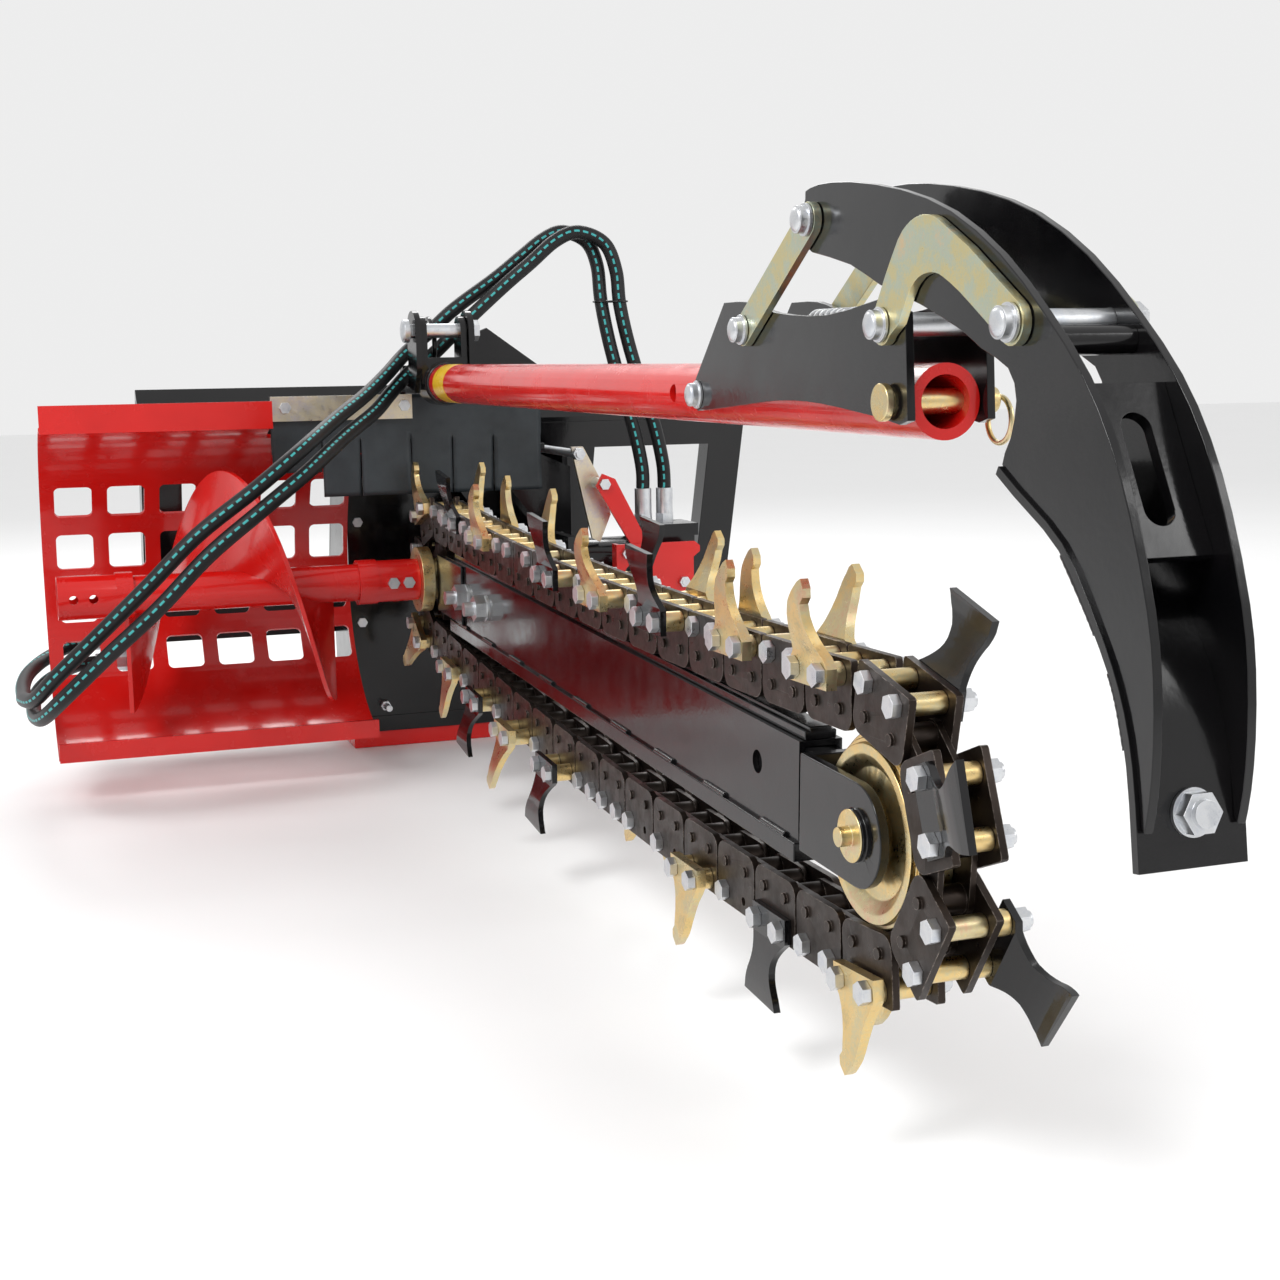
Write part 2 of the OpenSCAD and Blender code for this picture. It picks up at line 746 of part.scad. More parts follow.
module clamp_bolts() {
  color(zinc) for (x = [-212, -118, -40]) {
    y_rod(flap_y - 8, flap_y + 2.5, 5, x, 247);
    y_rod(flap_y - 13, flap_y - 8, 8.7, x, 247, 6);
  }
}

module rubber_flap() {
  color(black) difference() {
    union() {
      box([-232, flap_y - 2.5, 154], [-160, flap_y + 2.5, 263]);
      box([-160, flap_y - 2.5, 118], [168, flap_y + 2.5, 263]);
    }
    for (x = [-104, -30, 32, 94]) box([x - 0.8, flap_y - 4, 110], [x + 0.8, flap_y + 4, 200]);
    for (x = [-212, -118, -40]) y_rod(flap_y - 4, flap_y + 4, 5.05, x, 247);
  }
}

// ---------- crumber pivot ----------
ear_outline = concat(arc([pivot_y, pivot_z], 28, 0, 180, 10), [[-433, 300], [-415, 266],
  [-317.9, 266], [-317.9, 186.1], [-210, 186.1], [-210, 200], [-326, 300], [-341, 304],
  [-341, 276], [-373, 276], [-380, 292]]);

module pivot_ears() {
  color(black) {
    both_sides() difference() {
      yz_plate(34, 42, ear_outline);
      x_rod(33, 43, 10.02, pivot_y, pivot_z);
    }
    xz_plate(-386.5, -378.5, [[42, 290], [150, 290], [150, 301], [72, 356], [42, 344]]);
    box([142, -386.5, 266], [150, -317.9, 290]);
    box([142, -317.9, 186.1], [150, -250, 290]);
    x_rod(-34, 34, 4, -334, 298);
  }
}

module pivot_pin() {
  color(zinc) {
    x_rod(-46, 46, 10, pivot_y, pivot_z);
    tube_x(42.2, 45, 18, 10.02, pivot_y, pivot_z);
    x_rod(-54, -46, 16, pivot_y, pivot_z);
    x_rod(46, 54, 15, pivot_y, pivot_z, 6);
  }
}

module crumber_tube() {
  color(red) difference() {
    y_rod(-1854, -380, crumber_tube_d / 2, 0, crumber_z);
    y_rod(-1855, -374, 18.5, 0, crumber_z);
    x_rod(-30, 30, 8, -1400, crumber_z);
    x_rod(-30, 30, 8.05, clamp_hole_y, crumber_z);
    x_rod(-30, 30, 9.05, hitch_y, crumber_z);
  }
}

module tube_socket() {
  color(black) {
    difference() {
      union() {
        y_rod(-432, -380, 31, 0, crumber_z);
        both_sides() yz_plate(24, 33, concat([[-426, 282], [-384, 282]],
          arc([pivot_y, pivot_z], 20, 0, 180, 10)));
        translate([0, 0, crumber_z]) box([-33, -426, 0], [33, -384, 36]);
      }
      y_rod(-433, -375, crumber_tube_d / 2 + 0.03, 0, crumber_z);
      x_rod(-34, 34, 10.05, pivot_y, pivot_z);
    }
  }
}

// ---------- crumber bracket and arm ----------
bracket_outline = concat(smooth([[-1541, 355], [-1592, 354], [-1647, 344], [-1736, 340],
  [-1822, 349]], 3), [[-1858, 339], [-1863, 267], [-1851, 264]],
  smooth([[-1823, 268], [-1726, 276], [-1654, 277], [-1574, 272], [-1495, 266]], 3),
  arc([clamp_hole_y, crumber_z], 14, 240, 420, 5));

module pin_holes(list, r) {
  for (p = list) x_rod(-60, 60, r, p[0], p[1]);
}

module crumber_bracket() {
  color(black) both_sides() difference() {
    yz_plate(plate_in, plate_out, bracket_outline);
    pin_holes([strap_base, link_base], 8.02);
    pin_holes([[clamp_hole_y, crumber_z]], 8.05);
    pin_holes([[hitch_y, crumber_z]], 9.05);
    pin_holes([[-1559, 338]], 4);
  }
}

// domed bolt through two pivot points, with washer and nut
module cross_pin(p, r, reach) {
  x_rod(-reach, reach, r, p[0], p[1]);
  x_rod(-reach - 2.5, -reach, 12, p[0], p[1]);
  x_rod(-reach - 8.5, -reach - 2.5, 10, p[0], p[1]);
  x_rod(reach, reach + 8, 12, p[0], p[1], 6);
}

module bracket_pins() {
  color(zinc) {
    cross_pin(strap_base, 8, 41);
    cross_pin(link_base, 8, 41);
    cross_pin([clamp_hole_y, crumber_z], 8, 33.6);
  }
}

module hitch_pin() {
  color(gold) {
    x_rod(-36, 48, 9, hitch_y, crumber_z);
    x_rod(-42, -36, 13, hitch_y, crumber_z);
    translate([52, hitch_y, crumber_z - 14]) rotate([0, 90, 0])
      rotate_extrude($fn = 36) translate([16, 0]) circle(r = 2, $fn = 24);
  }
}

module bar(a, b, w, x0, x1) {
  d = atan2(b[1] - a[1], b[0] - a[0]);
  yz_plate(x0, x1, concat(arc(a, w, d + 90, d + 270, 10), arc(b, w, d - 90, d + 90, 10)));
}

module crumber_straps() {
  color(gold) both_sides() difference() {
    bar(strap_base, strap_tip, 13, 34.3, 40.5);
    pin_holes([strap_base, strap_tip], 8.05);
  }
}

link_outline = concat(arc(link_base, 14, 213, 393, 10),
  smooth([[-1842, 363], [-1860, 386], [-1872, 394.5], [-1884, 398.5], [-1896, 399.5],
    [-1908, 397.5], [-1918, 393]], 2),
  [[-1952, 376]], arc(link_tip, 14, 117.5, 297.5, 10),
  smooth([[-1973, 331], [-1942, 349], [-1921, 359], [-1911, 362], [-1900, 362.5],
    [-1888, 360], [-1878, 353.5], [-1870, 343], [-1862, 331]], 2));

module crumber_links() {
  color(gold) both_sides() difference() {
    yz_plate(34.3, 40.5, link_outline);
    pin_holes([link_base], 8.05);
    pin_holes([link_tip], 11);
  }
}

outer_edge = [[-1700, 431], [-1723, 434], [-1775, 431], [-1850, 419], [-1917, 400], [-1978, 370],
  [-2028, 334], [-2069, 298], [-2097, 262], [-2118, 222], [-2136, 173], [-2143, 138],
  [-2145, 100], [-2143, 70], [-2139, 50]];
inner_edge = [[-2135.5, 55], [-2129.5, 85], [-2115, 126.5], [-2091, 161.5], [-2055.5, 202],
  [-2004, 231], [-1984, 244], [-1993, 260], [-1999, 283], [-1989, 302], [-1957, 314],
  [-1931, 326], [-1879, 343], [-1821, 358], [-1775, 374], [-1712, 386]];

module crumber_arm() {
  color(black) both_sides() difference() {
    yz_plate(plate_in, plate_out, concat(smooth(outer_edge, 2), smooth(inner_edge, 2),
      arc([-1716, 409], 23, -75, 45, 5)));
    pin_holes([strap_tip, link_tip], 8.02);
  }
}

shoe_curve = [[-1981, 238], [-2002, 226], [-2052, 198], [-2087, 158], [-2110, 124],
  [-2124, 85], [-2133, 27]];

function turned(v) = [v[1], -v[0]] / norm(v);

function beside(p, s, w) = on_spline(p, s)
  + w * turned(on_spline(p, min(s + 0.05, len(p) - 1)) - on_spline(p, max(s - 0.05, 0)));

// children lie square to the shoe at its bolt
module on_shoe() {
  translate([0, -2128.7, 58]) rotate([-8.1, 0, 0]) children();
}

module arm_shoe() {
  color(black) {
    difference() {
      yz_plate(-36, 36, concat(smooth(shoe_curve, 3),
        [for (k = [18 : -1 : 0]) beside(shoe_curve, k / 3, 6)]));
      on_shoe() y_rod(-20, 10, 8.05);
    }
    x_rod(-plate_in + 0.05, plate_in - 0.05, 9, -2025, 318);
    translate([0, -2082, 244]) rotate([62, 0, 0]) difference() {
      box([-plate_in + 0.05, -54, -4], [plate_in - 0.05, 54, 4]);
      hull() for (y = [-25, 25]) translate([0, y, -5]) cylinder(h = 10, r = 10);
    }
  }
}

module arm_pins() {
  color(zinc) {
    cross_pin(strap_tip, 8, 41);
    cross_pin(link_tip, 8, 41);
    on_shoe() {
      y_rod(-21, 6, 8);
      y_rod(-9, -6.1, 14);
      y_rod(-17, -9, 13, 0, 0, 6);
      y_rod(0.3, 6.3, 12);
    }
  }
}

mount_frame();
mount_hook();
mount_plate();
head_wall();
head_side_plates();
head_base();
head_skid();
head_deck();
head_bolts();
shaft_housing();
shaft_bearings();
drive_motor();
motor_port_block();
hose_fittings();
hose_a();
hose_b();
hose_couplers();
coupler_holder();
motor_guard();
guard_stay();
guard_strap();
guard_bolts();
shield();
shield_bracket();
clamp_bar();
clamp_bolts();
rubber_flap();
pivot_ears();
pivot_pin();
hose_guide();
boom_beam();
boom_rails();
boom_root();
boom_studs();
chain_inner_links();
chain_outer_links();
chain_spacers();
chain_bolts();
cup_teeth();
side_blades();
nose_frame();
nose_axle();
nose_roller();
drive_shaft();
drive_sprocket();
hub_flange();
auger_tube();
auger_flight();
auger_couplers();
coupler_bolts();
crumber_tube();
tube_socket();
crumber_bracket();
bracket_pins();
hitch_pin();
crumber_straps();
crumber_links();
crumber_arm();
arm_shoe();
arm_pins();
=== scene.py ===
import json
import math

import bmesh
import bpy
from mathutils import Matrix, Vector, noise


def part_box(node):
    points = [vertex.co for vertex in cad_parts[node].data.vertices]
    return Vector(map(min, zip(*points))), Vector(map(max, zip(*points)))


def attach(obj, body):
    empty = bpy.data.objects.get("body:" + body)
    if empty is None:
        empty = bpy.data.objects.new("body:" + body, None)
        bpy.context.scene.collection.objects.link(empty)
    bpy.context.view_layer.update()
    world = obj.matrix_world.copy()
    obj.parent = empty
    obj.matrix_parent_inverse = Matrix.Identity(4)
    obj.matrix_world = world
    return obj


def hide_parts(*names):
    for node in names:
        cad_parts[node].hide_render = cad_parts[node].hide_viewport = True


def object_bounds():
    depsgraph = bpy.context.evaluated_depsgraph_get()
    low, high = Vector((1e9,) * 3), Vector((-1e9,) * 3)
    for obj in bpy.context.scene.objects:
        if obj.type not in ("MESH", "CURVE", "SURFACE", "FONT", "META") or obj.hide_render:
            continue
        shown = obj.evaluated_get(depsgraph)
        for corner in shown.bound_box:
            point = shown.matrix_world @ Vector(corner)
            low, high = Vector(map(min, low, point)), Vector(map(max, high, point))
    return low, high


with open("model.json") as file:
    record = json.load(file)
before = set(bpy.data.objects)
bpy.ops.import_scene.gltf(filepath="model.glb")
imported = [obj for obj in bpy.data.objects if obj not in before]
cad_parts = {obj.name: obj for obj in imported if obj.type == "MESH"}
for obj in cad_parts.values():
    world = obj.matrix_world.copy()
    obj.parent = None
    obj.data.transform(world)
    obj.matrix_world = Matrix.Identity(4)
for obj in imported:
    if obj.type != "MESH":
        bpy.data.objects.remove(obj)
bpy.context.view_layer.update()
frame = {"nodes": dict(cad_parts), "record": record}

SCENE = bpy.context.scene
BODY_OF = {n: b for b, nodes in frame["record"]["behaviour"]["bodies"].items() for n in nodes}
SLOT_OF = {s["node"]: s["material_slot"] for s in frame["record"]["subparts"]}

# places shared by several pieces, in metres
HEAD_Y = -0.395           # axis of the drive shaft and the auger
PIVOT_YZ = (-0.405, 0.352)  # the crumber's pivot pin
TUBE_Z = 0.279            # axis of the crumber tube
BOOM_DROOP = math.radians(1.6)
VIEWER = Vector((-0.33, -0.93, 0.15))  # from the trencher towards the photo's viewpoint


# ---------------------------------------------------------------- camera
def make_camera():
    data = bpy.data.cameras.new("camera")
    data.lens = 51.22
    data.sensor_width = 36.0
    data.clip_end = 50
    cam = bpy.data.objects.new("camera", data)
    SCENE.collection.objects.link(cam)
    right = Vector((0.9414, -0.3369, -0.0140)).normalized()
    ahead = Vector((0.3309, 0.9311, -0.1537)).normalized()
    up = right.cross(ahead).normalized()
    right = ahead.cross(up).normalized()
    m = Matrix((right, up, -ahead)).transposed().to_4x4()
    m.translation = Vector((-0.6143, -2.9566, 0.3120))
    cam.matrix_world = m
    SCENE.camera = cam


make_camera()


# ---------------------------------------------------------------- material helpers
class Nodes:
    """Short-hand for building a material's node tree."""

    def __init__(self, name):
        self.mat = bpy.data.materials.new(name)
        self.mat.use_nodes = True
        self.tree = self.mat.node_tree
        self.bsdf = self.tree.nodes["Principled BSDF"]
        self.coords = None

    def new(self, kind, **values):
        n = self.tree.nodes.new(kind)
        for k, v in values.items():
            if hasattr(n, k):
                setattr(n, k, v)
            else:
                n.inputs[k.replace("_", " ")].default_value = v
        return n

    def link(self, a, b):
        self.tree.links.new(a, b)

    def set(self, **values):
        for k, v in values.items():
            self.bsdf.inputs[k.replace("_", " ")].default_value = v

    def place(self, stretch=(1, 1, 1)):
        if self.coords is None:
            self.coords = self.new("ShaderNodeTexCoord")
        m = self.new("ShaderNodeMapping")
        m.inputs["Scale"].default_value = stretch
        self.link(self.coords.outputs["Object"], m.inputs["Vector"])
        return m.outputs["Vector"]

    def noise(self, scale, detail=4, rough=0.55, stretch=(1, 1, 1)):
        n = self.new("ShaderNodeTexNoise", Scale=scale, Detail=detail, Roughness=rough)
        self.link(self.place(stretch), n.inputs["Vector"])
        return n.outputs["Fac"]

    def ramp(self, fac, stops):
        r = self.new("ShaderNodeValToRGB")
        r.color_ramp.elements[0].position = stops[0][0]
        r.color_ramp.elements[1].position = stops[-1][0]
        for pos, _ in stops[1:-1]:
            r.color_ramp.elements.new(pos)
        for e, (_, col) in zip(r.color_ramp.elements, stops):
            e.color = (col, col, col, 1) if isinstance(col, (int, float)) else (*col, 1)
        self.link(fac, r.inputs["Fac"])
        return r.outputs["Color"]

    def mix(self, fac, a, b, mode="MIX"):
        m = self.new("ShaderNodeMix", data_type="RGBA", blend_type=mode)
        for i, v in ((0, fac), (6, a), (7, b)):
            if isinstance(v, (int, float)):
                m.inputs[i].default_value = v if i == 0 else (v, v, v, 1)
            elif isinstance(v, tuple):
                m.inputs[i].default_value = (*v, 1)
            else:
                self.link(v, m.inputs[i])
        return m.outputs[2]

    def bump(self, height, strength, distance=0.001, after=None):
        b = self.new("ShaderNodeBump", Strength=strength, Distance=distance)
        self.link(height, b.inputs["Height"])
        if after is not None:
            self.link(after, b.inputs["Normal"])
        return b.outputs["Normal"]

    def worn_edges(self, radius, low, high):
        """1 on sharp edges, 0 on flats."""
        bev = self.new("ShaderNodeBevel", Radius=radius, samples=4)
        geo = self.new("ShaderNodeNewGeometry")
        dot = self.new("ShaderNodeVectorMath", operation="DOT_PRODUCT")
        self.link(bev.outputs["Normal"], dot.inputs[0])
        self.link(geo.outputs["Normal"], dot.inputs[1])
        r = self.new("ShaderNodeMapRange")
        for key, v in (("From Min", high), ("From Max", low), ("To Min", 0.0), ("To Max", 1.0)):
            r.inputs[key].default_value = v
        self.link(dot.outputs["Value"], r.inputs["Value"])
        return r.outputs["Result"]

    def to(self, socket, name):
        self.link(socket, self.bsdf.inputs[name])


def gloss_paint(name, col, dark, rough=0.16, coat=0.3, peel=0.05):
    """Glossy paint with slight orange peel; its colour drifts from col to dark."""
    m = Nodes(name)
    m.set(Roughness=rough, Coat_Weight=coat, Coat_Roughness=0.06, IOR=1.38)
    base = m.mix(m.ramp(m.noise(9, 3), [(0.35, 0.0), (0.7, 1.0)]), col, dark)
    m.to(base, "Base Color")
    m.to(m.ramp(m.noise(30, 5), [(0.3, rough * 0.7), (0.75, rough * 1.7)]), "Roughness")
    peel_n = m.bump(m.noise(260, 2, 0.5), peel, 0.0009)
    m.to(m.bump(m.noise(28, 3), peel * 0.8, 0.004, peel_n), "Normal")
    m.link(peel_n, m.bsdf.inputs["Coat Normal"])
    return m.mat


def plated(name, cols, rough=0.3, scale=26, metal=1.0, scratch=0.12):
    """Zinc plating: a metal whose tint drifts over the surface."""
    m = Nodes(name)
    m.set(Metallic=metal)
    drift = m.noise(scale, 5, 0.6)
    fine = m.noise(scale * 14, 3, 0.6)
    tint = m.ramp(m.mix(0.25, drift, fine), [(0.32 + 0.36 * i / (len(cols) - 1), c)
                                             for i, c in enumerate(cols)])
    m.to(tint, "Base Color")
    m.to(m.ramp(m.mix(0.5, m.noise(60, 4), fine), [(0.3, rough * 0.7), (0.7, rough * 1.5)]),
         "Roughness")
    lines = m.noise(300, 3, 0.6, (1, 0.12, 1))
    m.to(m.bump(m.mix(0.5, lines, fine), scratch, 0.0006), "Normal")
    return m.mat


def chain_metal(name, col, edge, rough=0.38, wear=0.85):
    """Dark steel, rubbed bright in patches along its edges."""
    m = Nodes(name)
    m.set(Metallic=0.75)
    blot = m.ramp(m.noise(38, 5), [(0.3, 0.0), (0.72, 1.0)])
    base = m.mix(blot, col, tuple(c * 1.9 for c in col))
    worn = m.mix(m.ramp(m.noise(150, 4, 0.7), [(0.42, 0.0), (0.62, 1.0)]), 0.0, 1.0)
    edges = m.mix(1.0, m.worn_edges(0.0012, 0.86, 0.985), worn, "MULTIPLY")
    m.to(m.mix(m.mix(1.0, edges, wear, "MULTIPLY"), base, edge), "Base Color")
    m.to(m.ramp(m.noise(70, 5), [(0.3, rough * 0.7), (0.75, rough * 1.4)]), "Roughness")
    m.to(m.bump(m.noise(240, 4, 0.6), 0.16, 0.0006), "Normal")
    return m.mat


def rubber_mat(name, col, rough=0.55, grain=0.25):
    """Dull rubber with a fine grain."""
    m = Nodes(name)
    m.set(Roughness=rough)
    m.to(m.mix(m.ramp(m.noise(14, 5), [(0.3, 0.0), (0.75, 1.0)]), col,
               tuple(c * 2.1 + 0.004 for c in col)), "Base Color")
    m.to(m.ramp(m.noise(46, 4), [(0.3, rough * 0.75), (0.7, rough * 1.25)]), "Roughness")
    m.to(m.bump(m.noise(520, 3, 0.6), grain, 0.0005), "Normal")
    return m.mat


BLACK = gloss_paint("black_paint", (0.0025, 0.0025, 0.003), (0.006, 0.0055, 0.006), 0.15, 0.2,
                    0.05)
RED = gloss_paint("red_paint", (0.60, 0.009, 0.007), (0.52, 0.007, 0.005), 0.2, 0.3, 0.04)
CHAIN = chain_metal("chain_steel", (0.020, 0.014, 0.011), (0.42, 0.36, 0.32))
RIVET = chain_metal("rivet_steel", (0.02, 0.018, 0.018), (0.5, 0.47, 0.45), 0.26)
GOLD = plated("gold_zinc", [(0.52, 0.42, 0.22), (0.76, 0.55, 0.24), (0.62, 0.54, 0.32),
                            (0.66, 0.42, 0.27)], 0.30)
PALE_GOLD = plated("pale_gold_zinc", [(0.52, 0.52, 0.36), (0.62, 0.54, 0.28),
                                      (0.48, 0.54, 0.44), (0.66, 0.52, 0.32)], 0.34, 40)
ZINC = plated("white_zinc", [(0.50, 0.52, 0.56), (0.66, 0.67, 0.68), (0.55, 0.58, 0.63)],
              0.34, 60)
TINTED = plated("tinted_zinc", [(0.52, 0.50, 0.54), (0.66, 0.58, 0.42), (0.50, 0.46, 0.50)],
                0.32, 18)
RUBBER = rubber_mat("flap_rubber", (0.012, 0.016, 0.019), 0.5)
WELD = gloss_paint("weld_black", (0.004, 0.004, 0.005), (0.010, 0.009, 0.009), 0.18, 0.45, 0.2)
YELLOW = gloss_paint("yellow_band", (0.80, 0.50, 0.02), (0.70, 0.42, 0.02), 0.3, 0.3, 0.03)
FINISH = {"black_paint": BLACK, "red_paint": RED, "bare_steel": CHAIN, "gold_zinc": GOLD,
          "white_zinc": ZINC, "rubber": RUBBER}


# ---------------------------------------------------------------- mesh helpers
def add_object(name, mesh, mat, body):
    obj = bpy.data.objects.new(name, mesh)
    SCENE.collection.objects.link(obj)
    mesh.materials.clear()
    mesh.materials.append(mat)
    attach(obj, body)
    return obj


def smooth_by_angle(mesh, degrees):
    mesh.shade_smooth()
    mesh.set_sharp_from_angle(angle=math.radians(degrees))


def bevelled(obj, width, segments=2, degrees=32):
    b = obj.modifiers.new("bevel", "BEVEL")
    b.width = width
    b.segments = segments
    b.limit_method = "ANGLE"
    b.angle_limit = math.radians(degrees)
    b.use_clamp_overlap = True
    b.harden_normals = True


def refined(node, mat=None, width=0.0009, segments=2, degrees=32):
    """A copy of a CAD node with clean faces and rounded edges, which stands for the node."""
    mesh = frame["nodes"][node].data.copy()
    bm = bmesh.new()
    bm.from_mesh(mesh)
    bmesh.ops.remove_doubles(bm, verts=bm.verts, dist=2e-6)
    bmesh.ops.dissolve_limit(bm, angle_limit=math.radians(0.6), verts=bm.verts, edges=bm.edges)
    bm.to_mesh(mesh)
    bm.free()
    obj = add_object("look_" + node, mesh, mat or FINISH[SLOT_OF[node]], BODY_OF[node])
    smooth_by_angle(mesh, degrees)
    if width:
        bevelled(obj, width, segments, degrees)
    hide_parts(node)
    return obj


def spline_at(p, s):
    n = len(p) - 1
    i = min(int(s), n - 1)
    t = s - i
    a, b, c, d = (Vector(p[k]) for k in (max(i - 1, 0), i, i + 1, min(i + 2, n)))
    return 0.5 * (2 * b + (c - a) * t + (2 * a - 5 * b + 4 * c - d) * t * t
                  + (3 * b - a - 3 * c + d) * t ** 3)


def tube_mesh(name, path, radius, sides=20, radius_at=None, front=None):
    """A capped tube along a path, with UVs: u in metres along it, v round it.

    With a front direction, v = 0.5 runs along the tube's front."""
    bm = bmesh.new()
    uv = bm.loops.layers.uv.new("UVMap")
    rows, along = [], [0.0]
    side = None
    n = len(path)
    for i, c in enumerate(path):
        t = (path[min(i + 1, n - 1)] - path[max(i - 1, 0)]).normalized()
        if side is None:
            side = t.orthogonal().normalized()
        aim = side if front is None else side * 0.4 - front
        side = (aim - aim.dot(t) * t).normalized()
        other = t.cross(side)
        r = radius if radius_at is None else radius_at(i, n)
        rows.append([bm.verts.new(c + r * (math.cos(2 * math.pi * k / sides) * side
                                           + math.sin(2 * math.pi * k / sides) * other))
                     for k in range(sides)])
        if i:
            along.append(along[-1] + (c - path[i - 1]).length)
    for i in range(n - 1):
        for k in range(sides):
            j = (k + 1) % sides
            f = bm.faces.new((rows[i][k], rows[i][j], rows[i + 1][j], rows[i + 1][k]))
            f.smooth = True
            for loop, (u, v) in zip(f.loops, ((i, k), (i, k + 1), (i + 1, k + 1), (i + 1, k))):
                loop[uv].uv = (along[u], v / sides)
    bm.faces.new(list(reversed(rows[0])))
    bm.faces.new(rows[-1])
    bmesh.ops.recalc_face_normals(bm, faces=bm.faces)
    mesh = bpy.data.meshes.new(name)
    bm.to_mesh(mesh)
    bm.free()
    return mesh, along[-1]


# ---------------------------------------------------------------- hoses
HOSE_R = 0.010
ROUTE_A = [(304, -395, 118), (303, -395, 150), (293, -391, 205), (276, -383, 270),
           (262, -373, 335), (254, -362, 395), (252, -352, 447), (238, -345, 481),
           (204, -342, 495), (175, -341, 485), (140, -341, 459), (100, -341, 428),
           (38, -340, 385), (0, -339, 352), (-38, -346, 322), (-75, -383, 292),
           (-116, -430, 264), (-170, -500, 235), (-237, -590, 196), (-300, -618, 151),
           (-372, -620, 98), (-434, -617, 38), (-495, -610, -20), (-548, -592, -72),
           (-576, -545, -108), (-588, -470, -122), (-589, -395, -128), (-588, -320, -128),
           (-580, -250, -124), (-562, -190, -118), (-538, -142, -112), (-512, -112, -106),
           (-480, -104, -104)]
ROUTE_B = [(338, -395, 118), (336, -395, 155), (324, -393, 212), (304, -389, 275),
           (288, -383, 335), (278, -377, 390), (275, -371, 438), (259, -368, 477),
           (220, -367, 493), (185, -367, 481), (145, -366, 448), (105, -362, 415),
           (46, -359, 363), (0, -357, 320), (-38, -357, 292), (-72, -390, 265),
           (-104, -434, 241), (-160, -505, 211), (-228, -595, 170), (-290, -628, 128),
           (-360, -634, 74), (-425, -634, 10), (-486, -628, -44), (-541, -606, -98),
           (-567, -550, -132), (-575, -470, -147), (-577, -395, -152), (-575, -320, -152),
           (-568, -255, -149), (-553, -200, -144), (-530, -155, -139), (-508, -128, -135),
           (-480, -120, -133)]


def hose_material():
    """Wrapped black rubber with a dashed teal line along v = 0.5."""
    m = Nodes("hose_rubber")
    m.set(Roughness=0.45, IOR=1.36)
    uv = m.new("ShaderNodeUVMap", uv_map="UVMap")
    split = m.new("ShaderNodeSeparateXYZ")
    m.link(uv.outputs["UV"], split.inputs[0])

    def math_node(op, a, b):
        n = m.new("ShaderNodeMath", operation=op)
        for sock, v in zip(n.inputs, (a, b)):
            if isinstance(v, (int, float)):
                sock.default_value = v
            else:
                m.link(v, sock)
        return n.outputs[0]

    dash_pitch, dash_share, half_width = 0.013, 0.62, 0.024
    along = math_node("MULTIPLY", split.outputs[0], 1 / dash_pitch)
    dash = math_node("LESS_THAN", math_node("FRACT", along, 0), dash_share)
    off_line = math_node("ABSOLUTE", math_node("SUBTRACT", split.outputs[1], 0.5), 0)
    stripe = math_node("MULTIPLY", dash, math_node("LESS_THAN", off_line, half_width))
    base = m.mix(m.ramp(m.noise(24, 4), [(0.3, 0.0), (0.7, 1.0)]), (0.004, 0.004, 0.0045),
                 (0.010, 0.010, 0.011))
    m.to(m.mix(m.mix(1.0, stripe, 0.9, "MULTIPLY"), base, (0.05, 0.38, 0.38)), "Base Color")
    wrap = m.new("ShaderNodeTexWave", bands_direction="DIAGONAL", Scale=70, Distortion=0.2)
    m.link(uv.outputs["UV"], wrap.inputs["Vector"])
    m.to(m.bump(m.mix(0.5, wrap.outputs["Fac"], m.noise(500, 2)), 0.12, 0.0005), "Normal")
    return m.mat


HOSE = hose_material()


def make_hose(name, node, route):
    points = [Vector(p) / 1000 for p in route]
    per_point = 8
    steps = (len(points) - 1) * per_point
    path = [spline_at(points, k / per_point) for k in range(steps + 1)]
    mesh, length = tube_mesh(name, path, HOSE_R, 24, front=VIEWER)
    obj = add_object(name, mesh, HOSE, "frame")
    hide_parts(node)
    return obj


make_hose("pressure_hose", "hose_a", ROUTE_A)
make_hose("return_hose", "hose_b", ROUTE_B)


# ---------------------------------------------------------------- auger flight
def make_flight():
    """The auger's flight: one full turn, finer than the CAD's facets."""
    turns, r0, r1, t, length, left = 192, 0.0255, 0.165, 0.003, 0.281, -0.449
    bm = bmesh.new()
    rows = []
    for k in range(turns + 1):
        a = math.radians(-90 + 360 * k / turns)
        x = left + length * k / turns
        ring = []
        for r, dx in ((r0, -t), (r1, -t), (r1, t), (r0, t)):
            ring.append(bm.verts.new((x + dx, HEAD_Y + r * math.cos(a), r * math.sin(a))))
        rows.append(ring)
    for a, b in zip(rows, rows[1:]):
        for e in range(4):
            bm.faces.new((a[e], a[(e + 1) % 4], b[(e + 1) % 4], b[e]))
    bm.faces.new(list(reversed(rows[0])))
    bm.faces.new(rows[-1])
    bmesh.ops.recalc_face_normals(bm, faces=bm.faces)
    mesh = bpy.data.meshes.new("flight")
    bm.to_mesh(mesh)
    bm.free()
    obj = add_object("flight", mesh, RED, "auger")
    smooth_by_angle(mesh, 40)
    bevelled(obj, 0.0012, 2, 40)
    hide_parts("auger_flight")


make_flight()


